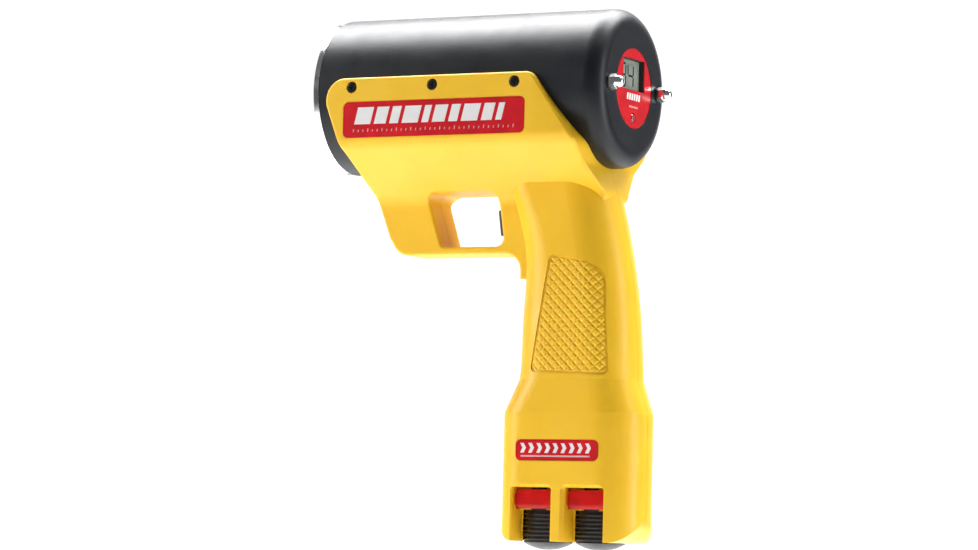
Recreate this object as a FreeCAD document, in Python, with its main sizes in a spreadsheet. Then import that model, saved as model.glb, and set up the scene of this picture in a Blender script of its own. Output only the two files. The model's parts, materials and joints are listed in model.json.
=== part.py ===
"""Hand-held sports radar gun: a black cylindrical head in a yellow clamshell with a pistol grip.

Row frame, millimetres: the gun aims along -X, +Y is its right side and +Z is up. The origin is the
middle of the footprint, level with the lowest point of the two stick batteries.
"""
import FreeCAD, Part
import Sketcher
import math
import os

from FreeCAD import Placement, Rotation, Vector

doc = FreeCAD.newDocument("radar_gun")
sheet = doc.addObject("Spreadsheet::Sheet", "Sizes")

# ---------------------------------------------------------------- driving dimensions
SIZES = {
    # head: a cup-shaped shell with its axis along X
    "head_axis": 236.5, "head_radius": 41, "head_rear": 78, "head_length": 163, "shell_wall": 3,
    "rear_round": 9, "bezel_width": 5, "bezel_chamfer": 1.6, "lens_radius": 35.2, "lens_rim": 4,
    "spigot_length": 10, "fit_gap": 0.1, "seal_wire": 1.2,
    "horn_mouth": 33.5, "horn_throat": 6, "horn_length": 68, "horn_wall": 1.4,
    # display on the rear face
    "fascia_radius": 20.6, "fascia_recess": 0.8, "fascia_thick": 0.6, "window_wide": 25,
    "window_high": 16.2, "window_up": 7, "lamp_radius": 2.5, "lamp_down": 15.3,
    "stud_radius": 2, "stud_out": 28.5, "washer_radius": 3.9, "washer_thick": 0.8,
    "nut_flats": 7, "nut_hex_high": 3.2, "nut_high": 7.2, "board_thick": 1.6, "board_radius": 33,
    # yellow housing: cradle, trigger guard, grip and flared base
    "flange_half": 44.5, "flange_top": 241.5, "crease_height": 207, "keel_height": 180,
    "guard_half": 12, "guard_bottom": 151.5, "window_top": 184, "window_low": 155.4, "skin": 3,
    "rim_round": 1.4, "seam_gap": 0.24,
    "grip_half": 21.2, "base_half": 22.5, "base_front": 13.5, "base_rear": 90, "base_floor": 4,
    "base_top": 69.5, "base_corner": 16, "base_rear_round": 20, "base_round": 12,
    "side_screw_first": -63, "side_screw_pitch": 47.4, "side_screw_head": 2.8, "side_screw_sink": 1.8,
    "side_badge_long": 105.5, "side_badge_high": 18.5, "side_badge_middle": -14.7,
    "side_badge_height": 219.5, "badge_thick": 0.6, "badge_recess": 0.7, "badge_corner": 3,
    "base_badge_long": 46.6, "base_badge_high": 10.6, "base_badge_middle": 49.9,
    "base_badge_height": 50.3, "join_screw_head": 2.8, "join_screw_shank": 1.3,
    # stick batteries and their latches
    "battery_front": 35.2, "battery_pitch": 29.8, "battery_body": 11.9, "battery_cap": 13.2,
    "battery_top": 143, "cap_top": 19.5, "cap_dome": 3.6, "bore_gap": 0.35,
    "notch_half": 11, "notch_top": 31.5, "notch_deep": 9, "latch_low": 20.6, "latch_high": 30.4,
    "latch_half": 10.6, "latch_face": 18.4, "latch_back": 14.3, "latch_ear": 1.3, "latch_ear_thick": 1.3,
    "coil_radius": 1.2, "coil_wire": 0.22,
    # trigger
    "trigger_high": 13.4, "trigger_wide": 12, "trigger_height": 168, "trigger_face": 5,
    "trigger_deep": 12.5, "trigger_lean": 0.9,
    # checkered panels in the grip's sides
    "panel_deep": 0.7,
}


class Size:
    """A length that knows its value and the spreadsheet expression that gives it."""

    def __init__(self, value, text):
        self.value, self.text = float(value), text

    def combined(self, other, sign, value):
        text = other.text if isinstance(other, Size) else repr(float(other))
        return Size(value, f"({self.text} {sign} {text})")

    def __add__(self, other):
        return self.combined(other, "+", self.value + number(other))

    def __sub__(self, other):
        return self.combined(other, "-", self.value - number(other))

    def __mul__(self, other):
        return self.combined(other, "*", self.value * number(other))

    def __truediv__(self, other):
        return self.combined(other, "/", self.value / number(other))

    def __neg__(self):
        return self * -1

    __radd__ = __add__
    __rmul__ = __mul__

    def __rsub__(self, other):
        return -self + other


def number(value):
    return value.value if isinstance(value, Size) else float(value)


def text_of(value):
    return value.text if isinstance(value, Size) else repr(float(value))


class Driving:
    """Driving dimensions by name, such as dim.head_radius."""


dim = Driving()
for row, (alias, value) in enumerate(SIZES.items(), start=1):
    sheet.set(f"A{row}", alias)
    sheet.set(f"B{row}", str(value))
    sheet.setAlias(f"B{row}", alias)
    setattr(dim, alias, Size(value, f"Sizes.{alias}"))
doc.recompute()

NODES = []
SIDES = (("left", -1), ("right", 1))
WIRE_X = Size(20, "20")
AXIS_TURN = {"X": Rotation(Vector(0, 1, 0), 90), "Y": Rotation(Vector(1, 0, 0), -90), "Z": Rotation()}


# ---------------------------------------------------------------- modelling helpers
def place(thing, x=0, y=0, z=0, turn=None):
    """Puts an object at x, y, z, each bound to the sheet."""
    if turn is not None:
        thing.Placement = Placement(Vector(0, 0, 0), turn)
    for letter, value in zip("xyz", (x, y, z)):
        thing.setExpression(f"Placement.Base.{letter}", text_of(value))
    return thing


def sphere_through(rim, rise):
    """The radius of the dome that is rise high over a rim of that radius."""
    return (rim**2 + rise**2) / (2 * rise)


def cylinder(name, radius, height, x, y, z, along="Z"):
    made = doc.addObject("Part::Cylinder", name)
    made.setExpression("Radius", text_of(radius))
    made.setExpression("Height", text_of(height))
    return place(made, x, y, z, AXIS_TURN[along])


def box(name, long, wide, high, x, y, z):
    """A box whose lowest corner is at x, y, z."""
    made = doc.addObject("Part::Box", name)
    for prop, value in (("Length", long), ("Width", wide), ("Height", high)):
        made.setExpression(prop, text_of(value))
    return place(made, x, y, z)


def cut(name, base, *tools):
    made = doc.addObject("Part::Cut", name)
    made.Base = base
    made.Tool = tools[0] if len(tools) == 1 else group(name + "_tools", *tools)
    return made


def fuse(name, *things):
    made = doc.addObject("Part::MultiFuse", name)
    made.Shapes = list(things)
    return made


def group(name, *things):
    """Separate solids that share one node."""
    made = doc.addObject("Part::Compound", name)
    made.Links = list(things)
    return made


def node(thing, label):
    thing.Label = label
    NODES.append(thing)
    return thing


def round_edges(name, base, radius, chosen):
    """Rounds those edges of base that chosen(edge) picks."""
    doc.recompute()
    made = doc.addObject("Part::Fillet", name)
    made.Base = base
    picked = [i + 1 for i, edge in enumerate(base.Shape.Edges) if chosen(edge)]
    made.Edges = [(i, number(radius), number(radius)) for i in picked]
    return made


def outline_sketch(body, name, plane, corners, radii=None):
    """A closed sketch through corners, each bound to the sheet; radii[i] bends the side that ends at i."""
    radii = radii or {}
    sketch = body.newObject("Sketcher::SketchObject", name)
    support = [f for f in body.Origin.OriginFeatures if f.Role == plane][0]
    sketch.AttachmentSupport = (support, [""])
    sketch.MapMode = "FlatFace"
    points = [Vector(number(a), number(b), 0) for a, b in corners]
    count = len(points)
    for i in range(count):
        start, end = points[i - 1], points[i]
        if i in radii:
            radius, side = number(radii[i][0]), radii[i][1]
            chord = end - start
            rise = radius - math.sqrt(max(radius**2 - (chord.Length / 2) ** 2, 0))
            across = Vector(-chord.y, chord.x, 0).normalize()
            middle = (start + end) / 2 + across * rise * side
            turns_left = side < 0
            ends = (start, end) if turns_left else (end, start)
            sketch.addGeometry(Part.Arc(ends[0], middle, ends[1]), False)
        else:
            sketch.addGeometry(Part.LineSegment(start, end), False)
    first = {}
    for i in range(count):
        curve = sketch.Geometry[i]
        starts_here = curve.StartPoint.isEqual(points[i - 1], 1e-6)
        first[i] = (1, 2) if starts_here else (2, 1)
    for i in range(count):
        after = (i + 1) % count
        sketch.addConstraint(Sketcher.Constraint("Coincident", i, first[i][1], after, first[after][0]))
    for i, (a, b) in enumerate(corners):
        for kind, letter, value in (("DistanceX", "a", a), ("DistanceY", "b", b)):
            at = sketch.addConstraint(Sketcher.Constraint(kind, -1, 1, i, first[i][1], number(value)))
            if isinstance(value, Size):
                sketch.renameConstraint(at, f"{letter}{i}")
                sketch.setExpression(f"Constraints.{letter}{i}", value.text)
    for i, (radius, _side) in radii.items():
        at = sketch.addConstraint(Sketcher.Constraint("Radius", i, number(radius)))
        if isinstance(radius, Size):
            sketch.renameConstraint(at, f"r{i}")
            sketch.setExpression(f"Constraints.r{i}", radius.text)
    return sketch


def turned(name, corners, radii=None, along="X", x=0, y=0, z=0):
    """A PartDesign body revolved about its own X or Z axis; a corner is (along the axis, radius)."""
    body = doc.addObject("PartDesign::Body", name)
    if along == "X":
        sketch = outline_sketch(body, name + "_outline", "XY_Plane", corners, radii)
        axis = "H_Axis"
    else:
        flipped = [(radius, height) for height, radius in corners]
        sketch = outline_sketch(body, name + "_outline", "XZ_Plane", flipped, radii)
        axis = "V_Axis"
    turn = body.newObject("PartDesign::Revolution", name + "_turn")
    turn.Profile = sketch
    turn.ReferenceAxis = (sketch, [axis])
    turn.Angle = 360
    sketch.Visibility = False
    return place(body, x, y, z)


def padded(name, plane, corners, thick, radii=None, x=0, y=0, z=0):
    """A PartDesign body padded both ways from one of its origin planes."""
    body = doc.addObject("PartDesign::Body", name)
    sketch = outline_sketch(body, name + "_outline", plane, corners, radii)
    pad = body.newObject("PartDesign::Pad", name + "_pad")
    pad.Profile = sketch
    pad.setExpression("Length", text_of(thick))
    pad.Midplane = True
    return place(body, x, y, z)


def shape_feature(name, shape):
    made = doc.addObject("Part::Feature", name)
    made.Shape = shape
    return made


def rounded_wire(corners, to_point):
    """A closed wire through (a, b, radius) corners, with an arc at each corner that has a radius."""
    points = [Vector(a, b, 0) for a, b, _r in corners]
    ends = []
    for i, (_a, _b, radius) in enumerate(corners):
        here, before, after = points[i], points[i - 1], points[(i + 1) % len(points)]
        back, forth = (before - here).normalize(), (after - here).normalize()
        if radius <= 0:
            ends.append((here, None, here))
            continue
        half_angle = back.getAngle(forth) / 2
        reach = radius / math.tan(half_angle)
        inward = (back + forth).normalize()
        middle = here + inward * (radius / math.sin(half_angle) - radius)
        ends.append((here + back * reach, middle, here + forth * reach))
    edges = []
    for i, (start, middle, end) in enumerate(ends):
        if middle is not None:
            edges.append(Part.Arc(to_point(start), to_point(middle), to_point(end)).toShape())
        onward = ends[(i + 1) % len(ends)][0]
        if (onward - end).Length > 1e-6:
            edges.append(Part.LineSegment(to_point(end), to_point(onward)).toShape())
    return Part.Wire(edges)


def side_plate(corners, half):
    """A plate with a side outline of (x, z, radius) corners, from y = -half to y = half."""
    wire = rounded_wire(corners, lambda p: Vector(p.x, -half, p.y))
    return Part.Face(wire).extrude(Vector(0, 2 * half, 0))


# ---------------------------------------------------------------- the head
def make_head_shell():
    front = dim.head_rear - dim.head_length
    inner, inner_end = dim.head_radius - dim.shell_wall, dim.head_length - dim.shell_wall
    inner_round = dim.rear_round - dim.shell_wall
    cup = turned(
        "shell_cup",
        [
            (0, inner), (0, dim.head_radius - 0.6), (0.6, dim.head_radius),
            (dim.head_length - dim.rear_round, dim.head_radius),
            (dim.head_length, dim.head_radius - dim.rear_round), (dim.head_length, 0),
            (inner_end, 0), (inner_end, inner - inner_round), (inner_end - inner_round, inner),
        ],
        radii={4: (dim.rear_round, 1), 8: (inner_round, -1)},
        x=front, z=dim.head_axis,
    )
    face = dim.head_rear - dim.fascia_recess
    cutters = [
        cylinder("fascia_seat", dim.fascia_radius + dim.fit_gap, dim.fascia_recess + 1,
                 face, 0, dim.head_axis, "X"),
        box("window_cut", 12, dim.window_wide, dim.window_high, dim.head_rear - 11,
            -dim.window_wide / 2, dim.head_axis + dim.window_up - dim.window_high / 2),
        cylinder("lamp_cut", dim.lamp_radius + dim.fit_gap, 12, dim.head_rear - 11, 0,
                 dim.head_axis - dim.lamp_down, "X"),
        cylinder("wire_cut", 5, 8, WIRE_X, 0, dim.head_axis - dim.head_radius - 2, "Z"),
    ]
    for name, side in SIDES:
        cutters.append(cylinder(f"stud_cut_{name}", dim.stud_radius + dim.fit_gap, 12, dim.head_rear - 11,
                                dim.stud_out * side, dim.head_axis, "X"))
        for i in range(3):
            x = dim.side_screw_first + dim.side_screw_pitch * i
            y = dim.head_radius * side - 6
            cutters.append(cylinder(f"screw_cut_{name}_{i}", 1.8, 12, x, y, dim.head_axis, "Y"))
    node(cut("head_shell", cup, *cutters), "head_shell")


def make_bezel_and_lens():
    front = dim.head_rear - dim.head_length - dim.bezel_width
    bore = dim.lens_radius + dim.fit_gap
    spigot = dim.head_radius - dim.shell_wall - dim.fit_gap
    lip = dim.lens_radius - 2
    outer = dim.head_radius - 0.3
    bezel = turned(
        "bezel",
        [
            (0.8, lip), (0, lip + 0.8), (0, outer - dim.bezel_chamfer - 0.4),
            (0.4, outer - dim.bezel_chamfer), (dim.bezel_chamfer + 0.4, outer),
            (dim.bezel_width, outer), (dim.bezel_width, spigot),
            (dim.bezel_width + dim.spigot_length, spigot), (dim.bezel_width + dim.spigot_length, bore),
            (3.2, bore), (3.2, lip),
        ],
        x=front, z=dim.head_axis,
    )
    node(bezel, "front_bezel")
    seat = front + 3.2 + dim.seal_wire
    lens = turned(
        "lens_disc",
        [(0, 0), (0, dim.lens_radius), (dim.lens_rim, dim.lens_radius), (dim.lens_rim, dim.lens_radius - 2),
         (2.4, dim.lens_radius - 3), (2.4, 0)],
        x=seat, z=dim.head_axis,
    )
    node(lens, "lens")
    seal = doc.addObject("Part::Torus", "seal_ring")
    seal.setExpression("Radius1", text_of(dim.lens_radius - dim.seal_wire / 2 - 0.05))
    seal.setExpression("Radius2", text_of(dim.seal_wire / 2))
    node(place(seal, front + 3.2 + dim.seal_wire / 2, 0, dim.head_axis, AXIS_TURN["X"]), "lens_seal")


def make_horn_and_transceiver():
    start = dim.head_rear - dim.head_length + dim.spigot_length + 0.2
    flange = dim.head_radius - dim.shell_wall - 0.3
    end = dim.horn_length
    horn = turned(
        "horn_cone",
        [
            (0, dim.horn_mouth), (0, flange), (2, flange), (2, dim.horn_mouth + dim.horn_wall),
            (end, dim.horn_throat + dim.horn_wall), (end, dim.horn_throat + 9), (end + 3, dim.horn_throat + 9),
            (end + 3, dim.horn_throat), (end, dim.horn_throat),
        ],
        x=start, z=dim.head_axis,
    )
    node(horn, "horn_antenna")
    back = start + end + 3
    block = box("guide_block", 24, 32, 32, back, -16, dim.head_axis - 16)
    guide = cylinder("guide_hole", dim.horn_throat, 20, back, 0, dim.head_axis, "X")
    node(cut("waveguide", block, guide), "waveguide_block")
    parts = []
    for name, side in SIDES:
        base = 16 if side > 0 else -16 - 7
        parts.append(cylinder(f"diode_can_{name}", 5, 7, back + 12, base, dim.head_axis, "Y"))
    node(group("diodes", *parts), "oscillator_and_mixer")
    return back + 24


def make_electronics(back):
    """The main board, the display board and what stands on them, strung on the two studs."""
    main_x = back + 4
    inner_face = dim.head_rear - dim.shell_wall
    display_x = inner_face - 9
    boards = {}
    for name, x in (("main", main_x), ("display", display_x)):
        disc = cylinder(f"{name}_disc", dim.board_radius, dim.board_thick, x, 0, dim.head_axis, "X")
        holes = [
            cylinder(f"{name}_hole_{side_name}", dim.stud_radius + 0.15, 4, x - 1, dim.stud_out * side,
                     dim.head_axis, "X")
            for side_name, side in SIDES
        ]
        boards[name] = cut(f"{name}_board_cut", disc, *holes)
        node(boards[name], f"{name}_board")
    chips = [
        box("processor", 2.4, 20, 20, main_x + dim.board_thick, -10, dim.head_axis - 12),
        box("amplifier", 2, 8, 12, main_x + dim.board_thick, -20, dim.head_axis + 12),
        cylinder("reservoir", 4, 9, main_x + dim.board_thick, 12, dim.head_axis + 17, "X"),
        cylinder("reservoir_2", 4, 9, main_x + dim.board_thick, 0, dim.head_axis + 22, "X"),
        box("driver", 1.6, 14, 6, main_x + dim.board_thick, 4, dim.head_axis - 26),
    ]
    node(group("chips", *chips), "main_board_parts")
    sleeves, studs, washers, nuts, rear_nuts = [], [], [], [], []
    for name, side in SIDES:
        y = dim.stud_out * side
        start = main_x + dim.board_thick
        tube = cylinder(f"sleeve_{name}", 3.4, display_x - start, start, y, dim.head_axis, "X")
        hole = cylinder(f"sleeve_hole_{name}", dim.stud_radius + 0.15, display_x - start + 2, start - 1, y,
                        dim.head_axis, "X")
        sleeves.append(cut(f"spacer_{name}", tube, hole))
        top = display_x + dim.board_thick
        short = cylinder(f"collar_{name}", 3.4, inner_face - top, top, y, dim.head_axis, "X")
        short_hole = cylinder(f"collar_hole_{name}", dim.stud_radius + 0.15, inner_face - top + 2, top - 1, y,
                              dim.head_axis, "X")
        sleeves.append(cut(f"short_spacer_{name}", short, short_hole))
        stud_start = main_x - 4.5
        studs.append(cylinder(f"stud_{name}", dim.stud_radius, dim.head_rear + 5.2 - stud_start, stud_start, y,
                              dim.head_axis, "X"))
        washers.append(make_washer(name, y))
        nuts.append(make_dome_nut(name, y))
        rear_nuts.append(make_hex(f"back_nut_{name}", dim.nut_flats, 3.2, main_x - 3.2, y))
    node(group("spacers", *sleeves), "board_spacers")
    node(group("studs", *studs), "chassis_studs")
    node(group("inner_nuts", *rear_nuts), "stud_lock_nuts")
    node(group("washers", *washers), "stud_washers")
    for (name, _side), nut in zip(SIDES, nuts):
        node(nut, f"{name}_dome_nut")
    make_display(display_x + dim.board_thick, inner_face)


def make_hex(name, flats, high, x, y):
    """A hexagonal prism along X with a hole for the stud."""
    corner = flats / math.sqrt(3)
    prism = doc.addObject("Part::Prism", name + "_prism")
    prism.Polygon = 6
    prism.setExpression("Circumradius", text_of(corner))
    prism.setExpression("Height", text_of(high))
    place(prism, x, y, dim.head_axis, AXIS_TURN["X"])
    hole = cylinder(name + "_hole", dim.stud_radius + 0.05, high + 2, x - 1, y, dim.head_axis, "X")
    return cut(name, prism, hole)


def make_washer(name, y):
    disc = cylinder(f"washer_disc_{name}", dim.washer_radius, dim.washer_thick, dim.head_rear, y,
                    dim.head_axis, "X")
    hole = cylinder(f"washer_hole_{name}", dim.stud_radius + 0.1, 4, dim.head_rear - 1, y, dim.head_axis, "X")
    return cut(f"washer_{name}", disc, hole)


def make_dome_nut(name, y):
    """A cap nut: a chamfered hexagon under a dome, blind-bored for the stud."""
    seat = dim.head_rear + dim.washer_thick
    prism = doc.addObject("Part::Prism", f"nut_prism_{name}")
    prism.Polygon = 6
    prism.setExpression("Circumradius", text_of(dim.nut_flats / math.sqrt(3)))
    prism.setExpression("Height", text_of(dim.nut_hex_high))
    place(prism, seat, y, dim.head_axis, AXIS_TURN["X"])
    corner = dim.nut_flats / math.sqrt(3)
    envelope = turned(
        f"nut_envelope_{name}",
        [(0, 0), (0, corner - 0.6), (0.5, corner + 0.1), (dim.nut_hex_high - 0.5, corner + 0.1),
         (dim.nut_hex_high, corner - 0.6), (dim.nut_hex_high, 0)],
        x=seat, y=y, z=dim.head_axis,
    )
    hexagon = doc.addObject("Part::Common", f"nut_hex_{name}")
    hexagon.Base, hexagon.Tool = prism, envelope
    dome_radius = dim.nut_flats / 2 - 0.3
    straight = dim.nut_high - dome_radius
    dome = turned(
        f"nut_dome_{name}",
        [(0.2, 0), (0.2, dome_radius), (straight, dome_radius), (dim.nut_high, 0)],
        radii={3: (dome_radius, 1)},
        x=seat, y=y, z=dim.head_axis,
    )
    whole = fuse(f"nut_whole_{name}", hexagon, dome)
    bore = cylinder(f"nut_bore_{name}", dim.stud_radius + 0.05, 5.6, seat - 1, y, dim.head_axis, "X")
    return cut(f"nut_{name}", whole, bore)


def make_display(board_face, inner_face):
    middle = dim.head_axis + dim.window_up
    frame_wide, frame_high = dim.window_wide + 5, dim.window_high + 4.4
    glass_face = inner_face - 0.2
    holder = box("lcd_holder", glass_face - 1.2 - board_face, frame_wide, frame_high, board_face,
                 -frame_wide / 2, middle - frame_high / 2)
    node(holder, "display_frame")
    node(box("lcd_plate", 1.2, frame_wide - 2, frame_high - 2, glass_face - 1.2, 1 - frame_wide / 2,
             middle - frame_high / 2 + 1), "display_glass")
    label = cylinder("label_disc", dim.fascia_radius, dim.fascia_thick, dim.head_rear - dim.fascia_recess, 0,
                     dim.head_axis, "X")
    window = box("label_window", 4, dim.window_wide, dim.window_high, dim.head_rear - 3,
                 -dim.window_wide / 2, middle - dim.window_high / 2)
    lamp = cylinder("label_lamp", dim.lamp_radius + 0.05, 4, dim.head_rear - 3, 0,
                    dim.head_axis - dim.lamp_down, "X")
    node(cut("fascia", label, window, lamp), "fascia_label")
    tip = dim.head_rear - board_face + 0.4
    pipe = turned(
        "lamp_body",
        [(0, 0), (0, dim.lamp_radius), (tip - dim.lamp_radius * 0.6, dim.lamp_radius), (tip, 0)],
        radii={3: (dim.lamp_radius * (0.6**2 + 1) / 1.2, 1)},
        x=board_face, z=dim.head_axis - dim.lamp_down,
    )
    node(pipe, "power_lamp")


# ---------------------------------------------------------------- the yellow housing
def values(*names):
    """Plain numbers from the sheet, for shapes that are built by Part functions."""
    return [number(getattr(dim, name)) for name in names]


def side_outline():
    """The cradle and trigger guard seen from the side, as (x, z, corner radius)."""
    top, keel, low = values("flange_top", "keel_height", "guard_bottom")
    front = [(-78.5, top, 11), (-78.5, 228, 8), (-69, 203, 25), (-62.5, 177, 25), (-56.5, 161, 8),
             (-50.5, low, 9)]
    under_grip = [(20.8, low, 9), (20.8, low - 13, 0), (60, low - 13, 0), (66, keel - 4, 0)]
    rear = [(70.6, keel + 0.5, 4), (65.2, keel + 16, 7), (66, keel + 26, 7), (41, top, 6)]
    return front + under_grip + rear


def cradle_section():
    """The cross section of cradle and guard, as (y, z, corner radius)."""
    top, half, crease, keel, guard, low = values(
        "flange_top", "flange_half", "crease_height", "keel_height", "guard_half", "guard_bottom")
    right = [(half, top, 0), (half, crease, 9), (guard, keel, 10), (guard, low - 14, 0)]
    return right + [(-y, z, r) for y, z, r in reversed(right)]


def along_x(corners, start, end):
    """Extrudes a cross section of (y, z, radius) corners along X."""
    wire = rounded_wire(corners, lambda p: Vector(start, p.x, p.y))
    return Part.Face(wire).extrude(Vector(end - start, 0, 0))


def plan_wire(front, rear, half, front_round, rear_round, height):
    """A rounded rectangle seen from above, symmetric about Y = 0."""
    corners = [(front, -half, front_round), (rear, -half, rear_round), (rear, half, rear_round),
               (front, half, front_round)]
    return rounded_wire(corners, lambda p: Vector(p.x, p.y, height))


def grip_wires(inset=0.0):
    """The grip's plan sections from the top down, nearly half-round at the front and the rear."""
    half, = values("grip_half")
    sections = [
        (14, 64.8, half - 0.5, 14, 18, 196), (15.5, 70.4, half - 0.3, 15, 19.5, 180.5),
        (21, 76.9, half, 19.5, 20.5, 155.5), (21.5, 80.9, half, 20, 19.8, 131.5),
        (20.6, 83, half + 0.3, 20, 19, 106.5), (19.8, 84, half + 0.5, 19.5, 18.5, 86.5),
    ]
    wires = []
    for front, rear, wide, front_round, rear_round, height in sections:
        wires.append(plan_wire(front + inset, rear - inset, wide - inset, front_round - inset,
                               rear_round - inset, height))
    return wires


def make_flare_solid():
    """The grip's lower end spreads to the base's plan."""
    half, front, rear, top, front_round, rear_round = values(
        "base_half", "base_front", "base_rear", "base_top", "base_corner", "base_rear_round")
    base_wire = plan_wire(front, rear, half, front_round, rear_round, top)
    return Part.makeLoft([grip_wires()[-1], base_wire], True, True)


def make_base_solid():
    half, front, rear, floor, top, corner, rear_round, big = values(
        "base_half", "base_front", "base_rear", "base_floor", "base_top", "base_corner", "base_rear_round",
        "base_round")
    plan = Part.Face(plan_wire(front, rear, half, corner, rear_round, floor))
    plan = plan.extrude(Vector(0, 0, top - floor))
    side = side_plate([(front, top, 0), (rear, top, 0), (rear, floor, big), (front, floor, big)], half + 1)
    return plan.common(side)


def make_cradle_solid():
    """The cradle and trigger guard: a cross section trimmed to the side outline, with soft rims."""
    half, soft = values("flange_half", "rim_round")
    whole = along_x(cradle_section(), -90, 90).common(side_plate(side_outline(), half + 1)).Solids[0]
    rims = [edge for edge in whole.Edges if is_rim(edge, side_outline())]
    outer = [edge for edge in rims if edge.CenterOfMass.x < 18 or edge.CenterOfMass.z > 186]
    whole = whole.makeFillet(soft, outer)
    whole = whole.cut(side_plate(window_outline(), half))
    rims = [edge for edge in whole.Edges if is_rim(edge, window_outline())]
    return whole.makeFillet(soft, rims)


def window_outline():
    """The finger window in the trigger guard, as (x, z, corner radius)."""
    high, low = values("window_top", "window_low")
    return [(-34.5, high, 5), (7.1, high, 5), (11.3, low, 4.5), (-25.4, low, 3)]


def is_rim(edge, outline):
    """Whether an edge runs along a side outline, rather than straight across it."""
    size = edge.BoundBox
    if size.XLength < 1e-6 and size.ZLength < 1e-6:
        return False
    wire = rounded_wire(outline, lambda p: Vector(p.x, 0, p.y))
    middle = edge.valueAt((edge.FirstParameter + edge.LastParameter) / 2)
    return wire.distToShape(Part.Vertex(middle.x, 0, middle.z))[0] < 0.01


def housing_cavity():
    """Room for the trigger, its switch and the battery contacts, and hollow bays beside the head."""
    skin, crease, half, keel, high, low = values(
        "skin", "crease_height", "flange_half", "keel_height", "window_top", "guard_bottom")
    room = side_plate(
        [(-60, 202, 0), (-58, high + 3, 4), (11, high + 3, 4), (15.4, keel - 2, 3), (15.4, 158, 2),
         (26.9, low + 1.5, 0), (26.9, 145, 0), (73.4, 145, 0), (73, 153, 0), (70.3, 160, 5), (61.5, 192, 0),
         (61.5, 202, 0)],
        11.5,
    )
    narrow = Part.makeBox(90, 40, 20, Vector(-70, -20, high - 5)).cut(
        along_x([(8.5, high + 4, 0), (13, 205, 0), (-13, 205, 0), (-8.5, high + 4, 0), (-8.5, high - 5, 0),
                 (8.5, high - 5, 0)], -70, 20))
    post = Part.makeCylinder(3.4, 60, Vector(57, -30, 188), Vector(0, 1, 0))
    front_room = room.common(Part.makeBox(85, 100, 200, Vector(-70, -50, 100))).cut(narrow)
    rear_room = room.common(Part.makeBox(85, 100, 200, Vector(15, -50, 100))).cut(post)
    cavity = [front_room, rear_room]
    inner = [(half - skin, 225, 0), (half - skin, crease + 1.5, 6), (19, keel + 10, 3), (14.5, keel + 12, 0),
             (14.5, 225, 0)]
    bay_long, rib = 19.5, 2.5
    for side in (-1, 1):
        section = [(y * side, z, r) for y, z, r in inner]
        for i in range(5):
            start = -59 + (bay_long + rib) * i
            cavity.append(along_x(section, start, start + bay_long))
    return cavity


def housing_cutters():
    """Everything that is taken out of the housing, apart from the parting gap."""
    axis, radius, gap, half = values("head_axis", "head_radius", "fit_gap", "flange_half")
    cutters = housing_cavity()
    cutters.append(Part.makeCylinder(radius + gap, 300, Vector(-150, 0, axis), Vector(1, 0, 0)))
    cutters += battery_room() + latch_room() + badge_seats() + screw_holes() + panel_seats()
    wide, high, height = values("trigger_wide", "trigger_high", "trigger_height")
    cutters.append(Part.makeBox(15, wide + 0.5, high + 0.5, Vector(4, -wide / 2 - 0.25, height - high / 2 - 0.25)))
    return cutters


def panel_outline():
    """The checkered panel in the grip's side, as (x, z, corner radius)."""
    return [(42.6, 150.3, 3), (72, 146, 13), (76, 88.6, 3), (32.4, 90.2, 3)]


def panel_seats():
    """Shallow seats of even depth that follow the grip's round sides."""
    deep, = values("panel_deep")
    plate = side_plate(panel_outline(), 30)
    return plate.cut(Part.makeLoft(grip_wires(deep), True, False)).Solids


def battery_centres():
    front, pitch = values("battery_front", "battery_pitch")
    return (("front", front), ("rear", front + pitch))


def battery_room():
    body, cap, gap, top, cap_top = values("battery_body", "battery_cap", "bore_gap", "battery_top", "cap_top")
    rooms = []
    for _name, x in battery_centres():
        rooms.append(Part.makeCylinder(body + gap, top + 6, Vector(x, 0, -1)))
        rooms.append(Part.makeCylinder(cap + gap, cap_top + 1.6, Vector(x, 0, -1)))
    return rooms


def latch_room():
    """The thumb notches in the left side, the slots for the latch ears and the spring seats."""
    notch, top, deep, low, high, half, back, ear, thick, coil, outer, body, cap_top = values(
        "notch_half", "notch_top", "notch_deep", "latch_low", "latch_high", "latch_half", "latch_back",
        "latch_ear", "latch_ear_thick", "coil_radius", "base_half", "battery_body", "cap_top")
    rooms = []
    floor = body - 0.4
    for _name, x in battery_centres():
        rooms.append(Part.makeBox(2 * notch, outer + 1 - floor, top + 1, Vector(x - notch, -outer - 1, -1)))
        rooms.append(Part.makeBox(2 * notch, outer - deep, cap_top + 1.6, Vector(x - notch, -outer, -1)))
        slot_front = back + thick + 0.15
        slot_half = half + ear + 0.25
        rooms.append(Part.makeBox(2 * slot_half, slot_front - floor, high - low + 0.5,
                                  Vector(x - slot_half, -slot_front, low - 0.25)))
        rim = 1.6
        corners = [(x - notch - rim, -1, 0), (x + notch + rim, -1, 0), (x + notch + rim, top + rim, 3),
                   (x - notch - rim, top + rim, 3)]
        near = rounded_wire(corners, lambda p: Vector(p.x, -outer - 0.01, p.y))
        corners = [(x - notch, -1, 0), (x + notch, -1, 0), (x + notch, top, 2), (x - notch, top, 2)]
        far = rounded_wire(corners, lambda p: Vector(p.x, -outer + 2.2, p.y))
        rooms.append(Part.makeLoft([near, far], True, True))
        for side in (-1, 1):
            start = Vector(x + side * 8.6, -floor - 1, (low + high) / 2)
            rooms.append(Part.makeCylinder(coil + 0.15, 3, start + Vector(0, 2.2, 0), Vector(0, -1, 0)))
    return rooms


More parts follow.
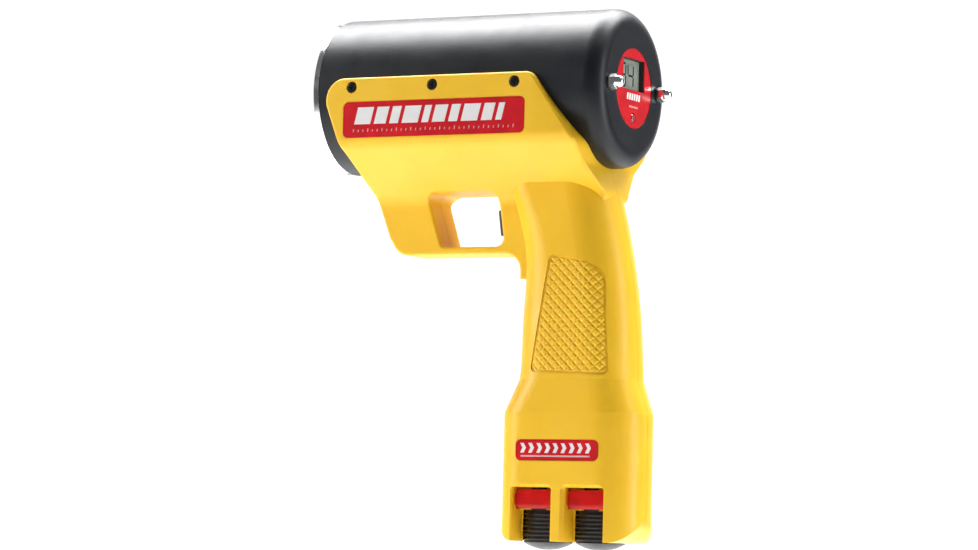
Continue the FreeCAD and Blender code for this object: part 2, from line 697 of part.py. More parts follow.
def badge_seats():
    long, high, middle, height, half, deep, corner = values(
        "side_badge_long", "side_badge_high", "side_badge_middle", "side_badge_height", "flange_half",
        "badge_recess", "badge_corner")
    low_long, low_high, low_middle, low_height, base_half = values(
        "base_badge_long", "base_badge_high", "base_badge_middle", "base_badge_height", "base_half")
    seats = []
    for side in (-1, 1):
        seats.append(badge_plate(long + 0.4, high + 0.4, middle, height, side * (half - deep), side * 2, corner))
        seats.append(badge_plate(low_long + 0.4, low_high + 0.4, low_middle, low_height,
                                 side * (base_half - deep), side * 2, corner))
    return seats


def badge_plate(long, high, middle, height, start, thick, corner):
    """A rounded plate in the XZ plane that grows from y = start by thick."""
    x0, x1, z0, z1 = middle - long / 2, middle + long / 2, height - high / 2, height + high / 2
    corners = [(x0, z0, corner), (x1, z0, corner), (x1, z1, corner), (x0, z1, corner)]
    wire = rounded_wire(corners, lambda p: Vector(p.x, start, p.y))
    return Part.Face(wire).extrude(Vector(0, thick, 0))


def join_screw_places():
    """Where the screws join the halves: (x, z, outer half thickness)."""
    guard, grip = values("guard_half", "grip_half")
    front, pitch = values("battery_front", "battery_pitch")
    web = front + pitch / 2
    return [(-43, 164, guard), (57, 188, grip - 0.4), (web, 122, grip), (web, 74, grip + 0.4)]


def screw_holes():
    axis, half, first, pitch, head, sink = values(
        "head_axis", "flange_half", "side_screw_first", "side_screw_pitch", "side_screw_head", "side_screw_sink")
    join_head, shank = values("join_screw_head", "join_screw_shank")
    holes = []
    for side in (-1, 1):
        for i in range(3):
            x = first + pitch * i
            holes.append(Part.makeCylinder(1.6, 8, Vector(x, side * 38, axis), Vector(0, side, 0)))
            holes.append(Part.makeCylinder(head + 0.25, 4, Vector(x, side * (half - sink), axis),
                                           Vector(0, side, 0)))
    for x, z, outer in join_screw_places():
        holes.append(Part.makeCylinder(shank + 0.05, outer + 10, Vector(x, -10, z), Vector(0, 1, 0)))
        holes.append(Part.makeCylinder(join_head + 0.25, 12, Vector(x, outer - 4, z), Vector(0, 1, 0)))
    return holes


def make_housing():
    """Both clamshell halves, cut from one solid along Y = 0."""
    gap, = values("seam_gap")
    grip = Part.makeLoft(grip_wires(), True, False)
    body = make_cradle_solid().fuse([grip, make_flare_solid(), make_base_solid()])
    body = body.cut(housing_cutters()).removeSplitter()
    for name, side in SIDES:
        keep = Part.makeBox(400, 100, 400, Vector(-200, gap / 2 if side > 0 else -100 - gap / 2, -50))
        node(shape_feature(f"{name}_housing", body.common(keep)), f"{name}_housing")


def make_badges():
    long, high, middle, height, half, deep, thick, corner = values(
        "side_badge_long", "side_badge_high", "side_badge_middle", "side_badge_height", "flange_half",
        "badge_recess", "badge_thick", "badge_corner")
    low_long, low_high, low_middle, low_height, base_half = values(
        "base_badge_long", "base_badge_high", "base_badge_middle", "base_badge_height", "base_half")
    for name, side in SIDES:
        plate = badge_plate(long, high, middle, height, side * (half - deep), side * thick, corner)
        node(shape_feature(f"{name}_side_badge", plate), f"{name}_side_badge")
        plate = badge_plate(low_long, low_high, low_middle, low_height, side * (base_half - deep),
                            side * thick, corner)
        node(shape_feature(f"{name}_base_badge", plate), f"{name}_base_badge")


# ---------------------------------------------------------------- screws
def pan_screw(name, head, shank, head_at, tip_at, x, z):
    """A pan-head screw along Y, from the under side of its head at head_at to its tip at tip_at."""
    side = 1 if number(head_at) > number(tip_at) else -1
    head_high = head * 0.55
    low = head_at if side > 0 else head_at - head_high
    cap = cylinder(name + "_cap", head, head_high, x, low, z, "Y")
    edge_y = number(head_at) + side * number(head_high)
    cap = round_edges(name + "_head", cap, 0.6, lambda e: abs(e.BoundBox.YMin - edge_y) < 1e-6 and e.Closed)
    start = tip_at if side > 0 else head_at
    long = (head_at - tip_at) * side
    rod = cylinder(name + "_rod", shank, long, x, start, z, "Y")
    slot_low = head_at + head_high - 0.8 if side > 0 else head_at - head_high - 0.2
    slots = [box(name + "_slot", 3.4, 1, 0.7, x - 1.7, slot_low, z - 0.35),
             box(name + "_cross", 0.7, 1, 3.4, x - 0.35, slot_low, z - 1.7)]
    return cut(name, fuse(name + "_solid", cap, rod), *slots)


def make_screws():
    for name, side in SIDES:
        screws = []
        for i in range(3):
            x = dim.side_screw_first + dim.side_screw_pitch * i
            seat = (dim.flange_half - dim.side_screw_sink) * side
            tip = (dim.head_radius - dim.shell_wall - 2) * side
            screws.append(pan_screw(f"{name}_flange_screw_{i}", dim.side_screw_head, Size(1.5, "1.5"), seat,
                                    tip, x, dim.head_axis))
        node(group(f"{name}_flange_screws", *screws), f"{name}_flange_screws")
    joined = []
    for i, (x, z, outer) in enumerate(join_screw_places()):
        seat = Size(outer - 4, repr(outer - 4))
        joined.append(pan_screw(f"join_screw_{i}", dim.join_screw_head, dim.join_screw_shank, seat,
                                Size(-9.5, "(0 - 9.5)"), Size(x, repr(x)), Size(z, repr(z))))
    node(group("join_screws", *joined), "housing_screws")


# ---------------------------------------------------------------- batteries and latches
def make_batteries():
    for name, x in (("front", dim.battery_front), ("rear", dim.battery_front + dim.battery_pitch)):
        tube = turned(
            f"{name}_battery",
            [(dim.cap_top, 0), (dim.cap_top, dim.battery_body), (dim.battery_top - 1.5, dim.battery_body),
             (dim.battery_top, dim.battery_body - 1.5), (dim.battery_top, 0)],
            along="Z", x=x,
        )
        node(tube, f"{name}_battery")
        rim = dim.battery_cap - 0.6
        dome = sphere_through(number(rim), number(dim.cap_dome))
        cap = turned(
            f"{name}_battery_cap_solid",
            [(0, 0), (dim.cap_dome, rim), (dim.cap_dome + 0.8, dim.battery_cap),
             (dim.cap_top - 0.8, dim.battery_cap), (dim.cap_top, rim), (dim.cap_top, 0)],
            radii={1: (dome, -1)},
            along="Z", x=x,
        )
        node(cap, f"{name}_battery_cap")
        ring = cylinder(f"{name}_ring", 7, 0.6, x, 0, dim.battery_top)
        ring_hole = cylinder(f"{name}_ring_hole", 5, 2, x, 0, dim.battery_top - 0.5)
        pin = cylinder(f"{name}_pin", 2.5, 0.6, x, 0, dim.battery_top)
        node(group(f"{name}_poles", cut(f"{name}_ring_cut", ring, ring_hole), pin), f"{name}_battery_poles")


def make_contacts():
    """An insulating bridge over the battery tops with a sprung pin and ring contact for each stick."""
    base = dim.battery_top + 6.2
    bridge = box("contact_bridge_plate", 45.5, 21, 2.5, dim.battery_front - 8, -10.5, base)
    pads = []
    for name, x in (("front", dim.battery_front), ("rear", dim.battery_front + dim.battery_pitch)):
        reach = 6.2 - 0.6 - 0.1
        pads.append(cylinder(f"{name}_plunger", 1.6, reach, x, 0, dim.battery_top + 0.7))
        pads.append(cylinder(f"{name}_plunger_side", 0.9, reach, x + 6, 0, dim.battery_top + 0.7))
    node(bridge, "contact_bridge")
    node(group("contact_plungers", *pads), "contact_plungers")


def make_latches():
    for name, x in (("front", dim.battery_front), ("rear", dim.battery_front + dim.battery_pitch)):
        high = dim.latch_high - dim.latch_low
        face = box(f"{name}_latch_block", dim.latch_half * 2, dim.latch_face - dim.latch_back, high,
                   x - dim.latch_half, -dim.latch_face, dim.latch_low)
        soft = round_edges(f"{name}_latch_soft", face, 1.4, is_latch_corner)
        ear_half = dim.latch_half + dim.latch_ear
        ears = box(f"{name}_latch_ears", ear_half * 2, dim.latch_ear_thick, high, x - ear_half,
                   -dim.latch_back - dim.latch_ear_thick, dim.latch_low)
        node(fuse(f"{name}_latch_solid", soft, ears), f"{name}_latch")
        springs = []
        seat = dim.battery_body + 0.6 - 1.2
        for side_name, side in SIDES:
            springs.append(coil(f"{name}_latch_coil_{side_name}", dim.coil_radius - dim.coil_wire,
                                dim.coil_wire, dim.latch_back - seat - 0.5, 4,
                                x + 8.6 * side, -seat - 0.25, (dim.latch_low + dim.latch_high) / 2, "-Y"))
        node(group(f"{name}_latch_springs", *springs), f"{name}_latch_springs")


def is_latch_corner(edge):
    """The latch's edges that run in from its face, and the rim of the face."""
    face = -number(dim.latch_face)
    along_y = edge.BoundBox.XLength < 1e-6 and edge.BoundBox.ZLength < 1e-6
    return along_y or (abs(edge.BoundBox.YMax - face) < 1e-6)


def coil(name, radius, wire, high, turns, x, y, z, along):
    """A round-wire coil spring that starts at x, y, z."""
    helix = doc.addObject("Part::Helix", name + "_path")
    helix.setExpression("Radius", text_of(radius))
    helix.setExpression("Height", text_of(high))
    helix.setExpression("Pitch", text_of(high / turns))
    ring = doc.addObject("Part::Circle", name + "_wire")
    ring.setExpression("Radius", text_of(wire))
    place(ring, radius, 0, 0, Rotation(Vector(1, 0, 0), 90))
    made = doc.addObject("Part::Sweep", name)
    made.Sections = [ring]
    made.Spine = (helix, ["Edge1"])
    made.Solid = True
    made.Frenet = True
    turns_to = {"X": Rotation(Vector(0, 1, 0), 90), "-Y": Rotation(Vector(1, 0, 0), 90)}
    return place(made, x, y, z, turns_to[along])


# ---------------------------------------------------------------- trigger
def make_trigger():
    x, high, wide = dim.trigger_face, dim.trigger_high, dim.trigger_wide
    low = dim.trigger_height - high / 2
    lean = dim.trigger_lean
    blade = padded(
        "trigger_blade", "XZ_Plane",
        [(lean, 0), (-lean, high), (dim.trigger_deep - 1, high), (dim.trigger_deep - 1, 0)],
        wide, x=x, z=low,
    )
    soft = round_edges("trigger_soft", blade, 1.6, is_trigger_front)
    collar = box("trigger_collar", 2, wide + 6, high + 5, x + dim.trigger_deep - 2, -wide / 2 - 3, low - 2.5)
    body = fuse("trigger_solid", soft, collar)
    node(body, "trigger")
    back = x + dim.trigger_deep
    node(coil("trigger_coil", Size(3, "3"), Size(0.35, "0.35"), Size(10.6, "10.6"), 6, back + 0.45, 0,
              dim.trigger_height, "X"), "trigger_spring")
    wall = back + 11.6
    node(box("switch_bracket_plate", 2, 22.6, 22, wall, -11.3, dim.trigger_height - 12), "switch_bracket")
    node(box("switch_case", 6, 9, 6, wall - 6, -4.5, dim.trigger_height - 10.6), "trigger_switch")
    node(box("switch_plunger_bar", 2.4, 3, 1.6, wall - 8.4, -1.5, dim.trigger_height - 8.4), "switch_plunger")


def is_trigger_front(edge):
    return edge.BoundBox.XMax < number(dim.trigger_face) + number(dim.trigger_lean) + 1e-6


# ---------------------------------------------------------------- build and write

def report_states():
    """Stops the build if any object failed or any sub-part is empty or not valid."""
    for thing in doc.Objects:
        if any(word in thing.State for word in ("Invalid", "Error")):
            raise RuntimeError(f"{thing.Name} is {thing.State}")
    for thing in NODES:
        shape = thing.Shape
        if shape.isNull() or not shape.isValid() or not shape.Solids:
            raise RuntimeError(f"{thing.Label} has no valid solid")


make_head_shell()
make_bezel_and_lens()
guide_end = make_horn_and_transceiver()
make_electronics(guide_end)
make_housing()
make_badges()
make_screws()
make_batteries()
make_contacts()
make_latches()
make_trigger()
doc.recompute()
report_states()

os.makedirs("parts", exist_ok=True)
for thing in NODES:
    thing.Shape.exportStep(f"parts/{thing.Label}.step")
    box_of = thing.Shape.BoundBox
    print(f"{thing.Label}: {thing.Shape.Volume:.0f} mm3, {len(thing.Shape.Solids)} solids, "
          f"x {box_of.XMin:.1f}..{box_of.XMax:.1f} y {box_of.YMin:.1f}..{box_of.YMax:.1f} "
          f"z {box_of.ZMin:.1f}..{box_of.ZMax:.1f}")
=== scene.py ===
"""Looks of the hand-held radar gun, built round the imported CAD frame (metres, -X forward, +Z up)."""

import json
import math

import bmesh
import bpy
from mathutils import Matrix, Vector
from mathutils.bvhtree import BVHTree


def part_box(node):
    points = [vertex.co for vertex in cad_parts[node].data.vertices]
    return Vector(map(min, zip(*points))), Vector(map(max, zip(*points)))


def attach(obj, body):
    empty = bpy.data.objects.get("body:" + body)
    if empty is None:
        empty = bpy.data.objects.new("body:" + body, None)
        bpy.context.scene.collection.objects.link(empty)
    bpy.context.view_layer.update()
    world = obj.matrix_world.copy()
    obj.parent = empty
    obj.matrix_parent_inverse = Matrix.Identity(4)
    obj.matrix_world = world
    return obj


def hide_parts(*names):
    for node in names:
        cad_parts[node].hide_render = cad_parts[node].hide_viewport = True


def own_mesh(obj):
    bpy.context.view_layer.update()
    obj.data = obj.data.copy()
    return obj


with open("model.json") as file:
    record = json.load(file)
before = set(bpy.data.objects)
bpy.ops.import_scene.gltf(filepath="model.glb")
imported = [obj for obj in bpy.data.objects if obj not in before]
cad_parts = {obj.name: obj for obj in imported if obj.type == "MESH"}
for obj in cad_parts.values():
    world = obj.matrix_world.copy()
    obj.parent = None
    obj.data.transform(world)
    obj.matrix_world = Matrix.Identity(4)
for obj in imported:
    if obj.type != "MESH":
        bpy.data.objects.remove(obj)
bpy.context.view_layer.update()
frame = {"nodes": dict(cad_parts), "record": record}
nodes = frame["nodes"]
MM = 0.001

# ---------------------------------------------------------------- places read from the CAD
SHELL_LOW, SHELL_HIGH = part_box("head_shell")
HEAD_AXIS = (SHELL_LOW.z + SHELL_HIGH.z) / 2
HEAD_RADIUS = (SHELL_HIGH.z - SHELL_LOW.z) / 2
HEAD_REAR = SHELL_HIGH.x


# ---------------------------------------------------------------- material helpers
class Recipe:
    """A Principled material with short calls for the nodes that feed it."""

    def __init__(self, name, color, roughness, metallic=0.0, specular=0.5, coat=0.0, coat_roughness=0.1):
        self.material = bpy.data.materials.new(name)
        self.material.use_nodes = True
        self.tree = self.material.node_tree
        self.shader = self.tree.nodes["Principled BSDF"]
        self.set("Base Color", (*color, 1.0))
        self.set("Roughness", roughness)
        self.set("Metallic", metallic)
        self.set("Specular IOR Level", specular)
        self.set("Coat Weight", coat)
        self.set("Coat Roughness", coat_roughness)
        self.place = self.add("ShaderNodeTexCoord").outputs["Object"]
        self.bumps = []

    def set(self, socket, value):
        self.shader.inputs[socket].default_value = value

    def add(self, kind, **inputs):
        node = self.tree.nodes.new(kind)
        for key, value in inputs.items():
            node.inputs[key.replace("_", " ")].default_value = value
        return node

    def link(self, source, target):
        self.tree.links.new(source, target)

    def noise(self, scale, detail=4.0, rough=0.55, stretch=None):
        node = self.add("ShaderNodeTexNoise", Scale=scale, Detail=detail, Roughness=rough)
        source = self.place
        if stretch:
            mapping = self.add("ShaderNodeMapping", Scale=stretch)
            self.link(source, mapping.inputs["Vector"])
            source = mapping.outputs["Vector"]
        self.link(source, node.inputs["Vector"])
        return node.outputs["Fac"]

    def ramp(self, source, low, high, start=0.3, end=0.7):
        """Maps a 0..1 value to low..high between start and end."""
        node = self.add("ShaderNodeMapRange")
        node.inputs["From Min"].default_value = start
        node.inputs["From Max"].default_value = end
        node.inputs["To Min"].default_value = low
        node.inputs["To Max"].default_value = high
        self.link(source, node.inputs["Value"])
        return node.outputs["Result"]

    def vary_color(self, source, first, second, start=0.3, end=0.7):
        node = self.tree.nodes.new("ShaderNodeMix")
        node.data_type = "RGBA"
        node.inputs["A"].default_value = (*first, 1.0)
        node.inputs["B"].default_value = (*second, 1.0)
        self.link(self.ramp(source, 0.0, 1.0, start, end), node.inputs["Factor"])
        self.link(node.outputs["Result"], self.shader.inputs["Base Color"])

    def vary_roughness(self, source, low, high, start=0.3, end=0.7):
        self.link(self.ramp(source, low, high, start, end), self.shader.inputs["Roughness"])

    def bump(self, source, depth, strength=1.0):
        """Adds a bump layer depth metres deep."""
        node = self.add("ShaderNodeBump", Strength=strength, Distance=depth)
        self.link(source, node.inputs["Height"])
        if self.bumps:
            self.link(self.bumps[-1].outputs["Normal"], node.inputs["Normal"])
        self.bumps.append(node)
        self.link(node.outputs["Normal"], self.shader.inputs["Normal"])


def yellow_plastic():
    """Moulded yellow plastic: fine spark-eroded grain, faint flow marks and handled, glossier patches."""
    made = Recipe("housing_yellow", (0.90, 0.53, 0.020), 0.38, specular=0.4)
    made.vary_color(made.noise(35.0), (0.885, 0.515, 0.018), (0.915, 0.55, 0.024))
    made.vary_roughness(made.noise(60.0, 6.0), 0.32, 0.44)
    made.bump(made.noise(2600.0, 2.0), 0.00004, 0.5)
    made.bump(made.noise(700.0, 3.0), 0.00005, 0.25)
    made.set("Subsurface Weight", 0.06)
    made.set("Subsurface Radius", (0.004, 0.002, 0.0004))
    made.set("Subsurface Scale", 1.0)
    return made.material


def head_paint():
    """Black fine-texture powder coat with a satin sheen and slightly rubbed patches."""
    made = Recipe("head_black", (0.007, 0.009, 0.013), 0.36, specular=0.34)
    made.vary_color(made.noise(28.0), (0.0055, 0.0075, 0.011), (0.0095, 0.012, 0.016))
    made.vary_roughness(made.noise(90.0, 6.0), 0.33, 0.43)
    made.bump(made.noise(2200.0, 2.0), 0.00009, 0.6)
    made.bump(made.noise(500.0, 3.0), 0.00005, 0.3)
    return made.material


def simple(name, color, roughness, metallic=0.0, grain=900.0, depth=0.00002, specular=0.5, coat=0.0, spread=0.15):
    """A base finish with its own colour drift, roughness drift and fine grain."""
    made = Recipe(name, color, roughness, metallic, specular, coat)
    lighter = tuple(min(1.0, c * (1 + spread)) for c in color)
    darker = tuple(c * (1 - spread) for c in color)
    made.vary_color(made.noise(120.0), darker, lighter)
    made.vary_roughness(made.noise(200.0, 5.0), roughness * 0.85, roughness * 1.2)
    made.bump(made.noise(grain, 3.0), depth, 0.6)
    return made.material


def turned_metal(name, color, roughness):
    """Metal turned on a lathe about the head's axis: fine rings run round it."""
    made = Recipe(name, color, roughness, 1.0)
    made.vary_roughness(made.noise(160.0, 5.0), roughness * 0.8, roughness * 1.4)
    rings = made.noise(900.0, 2.0, stretch=(6.0, 0.05, 0.05))
    made.bump(rings, 0.000015, 0.5)
    return made.material


def knurl_free_chrome():
    made = Recipe("nut_chrome", (0.86, 0.87, 0.88), 0.07, 1.0)
    made.vary_roughness(made.noise(900.0, 4.0), 0.04, 0.12)
    made.bump(made.noise(400.0, 2.0), 0.00002, 0.15)
    return made.material


MATERIALS = {
    "housing_yellow": yellow_plastic(),
    "head_black": head_paint(),
    "bezel_metal": turned_metal("bezel_metal", (0.82, 0.83, 0.84), 0.14),
    "lens_black": simple("lens_black", (0.022, 0.022, 0.024), 0.42),
    "seal_rubber": simple("seal_rubber", (0.015, 0.015, 0.015), 0.7, grain=1500.0, depth=0.00006),
    "horn_metal": turned_metal("horn_metal", (0.72, 0.73, 0.74), 0.3),
    "brass_can": simple("brass_can", (0.80, 0.58, 0.24), 0.25, 1.0),
    "board_green": simple("board_green", (0.01, 0.13, 0.05), 0.35, coat=0.4),
    "chip_black": simple("chip_black", (0.02, 0.02, 0.022), 0.5),
    "steel": simple("steel", (0.60, 0.61, 0.62), 0.3, 1.0),
    "washer_black": simple("washer_black", (0.012, 0.012, 0.012), 0.5),
    "nut_chrome": knurl_free_chrome(),
    "frame_black": simple("frame_black", (0.015, 0.015, 0.016), 0.45),
    "lcd_glass": simple("lcd_glass", (0.30, 0.34, 0.29), 0.16, spread=0.05, coat=0.3),
    "label_red": simple("label_red", (0.60, 0.006, 0.014), 0.22, grain=1400.0, depth=0.00001, coat=0.35),
    "lamp_red": simple("lamp_red", (0.32, 0.004, 0.006), 0.1, coat=0.6),
    "screw_black": simple("screw_black", (0.02, 0.02, 0.021), 0.28, 0.6),
    "trigger_black": simple("trigger_black", (0.014, 0.014, 0.016), 0.38),
    "battery_sleeve": simple("battery_sleeve", (0.02, 0.02, 0.024), 0.35),
    "cap_black": simple("cap_black", (0.013, 0.013, 0.014), 0.42, grain=1800.0, depth=0.00005),
    "print_white": simple("print_white", (0.80, 0.79, 0.78), 0.35, spread=0.03, grain=1400.0),
    "print_grey": simple("print_grey", (0.62, 0.42, 0.40), 0.4, spread=0.05),
    "lcd_dark": simple("lcd_dark", (0.022, 0.028, 0.026), 0.22, spread=0.05),
    "lcd_ghost": simple("lcd_ghost", (0.255, 0.292, 0.248), 0.2, spread=0.03),
    "latch_red": simple("latch_red", (0.52, 0.004, 0.003), 0.22, grain=1600.0, depth=0.00002, specular=0.4),
}


def dress_cad():
    """Gives every CAD node the material of its slot."""
    slots = {part["node"]: part["material_slot"] for part in frame["record"]["subparts"]}
    for name, obj in nodes.items():
        obj.data.materials.clear()
        obj.data.materials.append(MATERIALS[slots[name]])


# ---------------------------------------------------------------- mesh helpers
def mesh_piece(name, points, faces, material, body, smooth_angle=None):
    """A named mesh in the row frame that rides on a CAD body."""
    mesh = bpy.data.meshes.new(name)
    mesh.from_pydata(points, [], faces)
    fix = bmesh.new()
    fix.from_mesh(mesh)
    bmesh.ops.recalc_face_normals(fix, faces=fix.faces)
    fix.to_mesh(mesh)
    fix.free()
    if smooth_angle is not None:
        mesh.shade_smooth()
        mesh.set_sharp_from_angle(angle=math.radians(smooth_angle))
    mesh.materials.append(MATERIALS[material])
    obj = bpy.data.objects.new(name, mesh)
    bpy.context.scene.collection.objects.link(obj)
    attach(obj, body)
    return obj


def soften(obj, width, segments=3):
    """Rounds a piece's sharp edges with a bevel."""
    bevel = obj.modifiers.new("soften", "BEVEL")
    bevel.width = width
    bevel.segments = segments
    bevel.limit_method = "ANGLE"
    bevel.angle_limit = math.radians(35)
    bevel.harden_normals = True


def lathe(name, profile, center, material, body, steps=128, along="Z"):
    """Turns (position along the axis, radius) pairs round an axis through center."""
    points, faces = [], []
    for step in range(steps):
        angle = 2 * math.pi * step / steps
        for height, radius in profile:
            across, rise = radius * math.cos(angle), radius * math.sin(angle)
            if along == "Z":
                points.append((center[0] + across, center[1] + rise, center[2] + height))
            else:
                points.append((center[0] + height, center[1] + across, center[2] + rise))
    count = len(profile)
    for step in range(steps):
        onward = (step + 1) % steps
        for i in range(count - 1):
            faces.append((step * count + i, step * count + i + 1, onward * count + i + 1, onward * count + i))
    obj = mesh_piece(name, points, faces, material, body, smooth_angle=32)
    weld = bmesh.new()
    weld.from_mesh(obj.data)
    bmesh.ops.remove_doubles(weld, verts=weld.verts, dist=1e-7)
    bmesh.ops.recalc_face_normals(weld, faces=weld.faces)
    weld.to_mesh(obj.data)
    weld.free()
    return obj


def arc(center, radius, start, end, count):
    """Points on an arc, with the angles in degrees."""
    found = []
    for i in range(count + 1):
        angle = math.radians(start + (end - start) * i / count)
        found.append((center[0] + radius * math.cos(angle), center[1] + radius * math.sin(angle)))
    return found


def rounded_outline(corners, steps=6):
    """A closed outline through (a, b, corner radius) corners."""
    outline = []
    count = len(corners)
    for i, (a, b, radius) in enumerate(corners):
        here = Vector((a, b))
        before = (Vector(corners[i - 1][:2]) - here).normalized()
        after = (Vector(corners[(i + 1) % count][:2]) - here).normalized()
        if radius <= 0:
            outline.append(tuple(here))
            continue
        half = before.angle(after) / 2
        middle = here + (before + after).normalized() * (radius / math.sin(half))
        first = here + before * (radius / math.tan(half)) - middle
        last = here + after * (radius / math.tan(half)) - middle
        start = math.atan2(first.y, first.x)
        sweep = (math.atan2(last.y, last.x) - start + math.pi) % (2 * math.pi) - math.pi
        for k in range(steps + 1):
            angle = start + sweep * k / steps
            outline.append((middle.x + radius * math.cos(angle), middle.y + radius * math.sin(angle)))
    return outline


def plate(name, outline, to_point, thick, material, body, soft=0.0):
    """A flat plate: to_point(a, b, depth) gives the place of an outline point at that depth."""
    count = len(outline)
    points = [to_point(a, b, 0.0) for a, b in outline] + [to_point(a, b, thick) for a, b in outline]
    faces = [tuple(range(count)), tuple(range(2 * count - 1, count - 1, -1))]
    faces += [(i, (i + 1) % count, count + (i + 1) % count, count + i) for i in range(count)]
    obj = mesh_piece(name, points, faces, material, body, smooth_angle=40)
    if soft:
        soften(obj, soft, 2)
    return obj


# ---------------------------------------------------------------- checkered grip panels
PANEL_CORNERS = ((0.0426, 0.1503, 0.003), (0.072, 0.146, 0.013), (0.076, 0.0886, 0.003), (0.0324, 0.0902, 0.003))
PANEL_GROOVE = 0.0010
PANEL_RISE = 0.00066
DIAMOND_PITCH = 0.00338
DIAMOND_GROOVE = 0.00036
DIAMOND_DEEP = 0.00056


def inside_depth(outline, a, b):
    """How far (a, b) lies inside a convex outline; negative outside."""
    least = 1.0
    count = len(outline)
    turn = 0.0
    for i in range(count):
        (ax, az), (bx, bz) = outline[i], outline[(i + 1) % count]
        turn += ax * bz - bx * az
    for i in range(count):
        (ax, az), (bx, bz) = outline[i], outline[(i + 1) % count]
        long = math.hypot(bx - ax, bz - az)
        if long < 1e-9:
            continue
        away = ((bx - ax) * (b - az) - (bz - az) * (a - ax)) / long
        least = min(least, away if turn > 0 else -away)
    return least


def diamond_height(a, b):
    """0 in a groove, 1 on top of a diamond: two families of straight grooves at 45 degrees."""
    rise = 1.0
    for value in ((a + b) / math.sqrt(2), (a - b) / math.sqrt(2)):
        away = abs((value / DIAMOND_PITCH + 0.5) % 1.0 - 0.5) * DIAMOND_PITCH
        rise = min(rise, max(0.0, (away - DIAMOND_GROOVE * 0.4) / (DIAMOND_GROOVE * 2.2)))
    return math.sin(min(1.0, rise) * math.pi / 2)


def checkered_panel(side_name, side):
    """A raised field of diamonds on the floor of the grip's seat, with a groove left round it."""
    housing = nodes[f"{side_name}_housing"].data
    tree = BVHTree.FromPolygons([v.co for v in housing.vertices], [tuple(p.vertices) for p in housing.polygons])
    outline = rounded_outline(PANEL_CORNERS, 10)
    step = 0.00028
    low_x, low_z, high_x, high_z = 0.030, 0.0880, 0.078, 0.1510
    points, index, faces = [], {}, []
    for j in range(int((high_z - low_z) / step)):
        b = low_z + (j + 0.5) * step
        for i in range(int((high_x - low_x) / step)):
            a = low_x + (i + 0.5) * step
            depth = inside_depth(outline, a, b) - PANEL_GROOVE
            if depth < 0:
                continue
            floor, away, _face, _distance = tree.ray_cast(Vector((a, side * 0.06, b)), Vector((0, -side, 0)))
            if floor is None:
                floor, away, _face, _distance = tree.find_nearest(Vector((a, side * 0.0205, b)))
            if away.y * side < 0:
                away = -away
            edge = math.sin(min(1.0, depth / 0.0004) * math.pi / 2)
            level = (PANEL_RISE - DIAMOND_DEEP * (1 - diamond_height(a, b))) * edge
            index[i, j] = len(points)
            points.append(floor + away * (level - 0.00005))
    for (i, j), corner in index.items():
        ring = [index.get(key) for key in ((i + 1, j), (i + 1, j + 1), (i, j + 1))]
        if None not in ring:
            faces.append((corner, *ring))
    mesh_piece(f"{side_name}_grip_checkering", points, faces, "housing_yellow", "gun", 60)


# ---------------------------------------------------------------- batteries and latches
def ribbed_cap(name):
    """A battery's end cap with round ribs and a shallow dome."""
    low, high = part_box(f"{name}_battery_cap")
    center = ((low.x + high.x) / 2, (low.y + high.y) / 2, low.z)
    radius, tall = (high.x - low.x) / 2, high.z - low.z
    rise, rim = 0.0036, radius - 0.0006
    sphere = (rim**2 + rise**2) / (2 * rise)
    profile = []
    for i in range(15):
        across = rim * i / 14
        profile.append((sphere - math.sqrt(sphere**2 - across**2), across))
    start, end, ribs = rise + 0.0006, tall - 0.0006, 7
    pitch = (end - start) / ribs
    for i in range(ribs):
        base = start + pitch * i
        profile.append((base + pitch * 0.02, radius - 0.00085))
        for up, out in arc((0.5, 0.0), 0.36, 180, 0, 8):
            profile.append((base + pitch * up, radius - 0.00085 + 0.00085 * min(1.0, out / 0.3)))
        profile.append((base + pitch * 0.98, radius - 0.00085))
    profile += [(tall, radius - 0.0010), (tall, 0.0)]
    cap = lathe(f"{name}_battery_end", profile, center, "cap_black", f"{name}_battery")
    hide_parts(f"{name}_battery_cap")


def latch_button(name):
    """A glossy latch with rounded ends and a crowned face."""
    low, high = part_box(f"{name}_latch")
    ear = 0.0013
    x0, x1 = low.x + ear, high.x - ear
    outline = rounded_outline(((x0, low.z, 0.0026), (x1, low.z, 0.0026), (x1, high.z, 0.0030),
                               (x0, high.z, 0.0030)), 8)
    middle_x, middle_z = (x0 + x1) / 2, (low.z + high.z) / 2
    rings = ((0.0, 1.0), (0.0030, 1.0), (0.00355, 0.985), (0.0039, 0.95), (0.0041, 0.88), (0.0041, 0.5))
    points, faces = [], []
    for depth, share in rings:
        for a, b in outline:
            inset = (1 - share) * 0.0052
            da = math.copysign(min(inset, abs(a - middle_x)), middle_x - a)
            db = math.copysign(min(inset, abs(b - middle_z)), middle_z - b)
            points.append((a + da, high.y - depth, b + db))
    count = len(outline)
    for r in range(len(rings) - 1):
        for i in range(count):
            onward = (i + 1) % count
            faces.append((r * count + i, r * count + onward, (r + 1) * count + onward, (r + 1) * count + i))
    faces.append(tuple(range(count)))
    faces.append(tuple(range((len(rings) - 1) * count, len(rings) * count)))
    button = mesh_piece(f"{name}_latch_button", points, faces, "latch_red", f"{name}_latch", 40)
    for side in (-1, 1):
        edge = x0 if side < 0 else x1
        plate(f"{name}_latch_ear_{'a' if side < 0 else 'b'}",
              rounded_outline(((edge - 0.0004, low.z, 0.0), (edge + side * ear, low.z, 0.0003),
                               (edge + side * ear, high.z, 0.0003), (edge - 0.0004, high.z, 0.0)), 2),
              lambda a, b, depth: (a, high.y - depth, b), 0.0013, "latch_red", f"{name}_latch")
    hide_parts(f"{name}_latch")


# ---------------------------------------------------------------- printed marks
def printed(name, outline, to_point, material, body="gun"):
    return plate(name, outline, to_point, 0.00005, material, body)


def slanted_bar(x, z, wide, high, lean):
    return [(x, z), (x + wide, z), (x + wide + lean, z + high), (x + lean, z + high)]


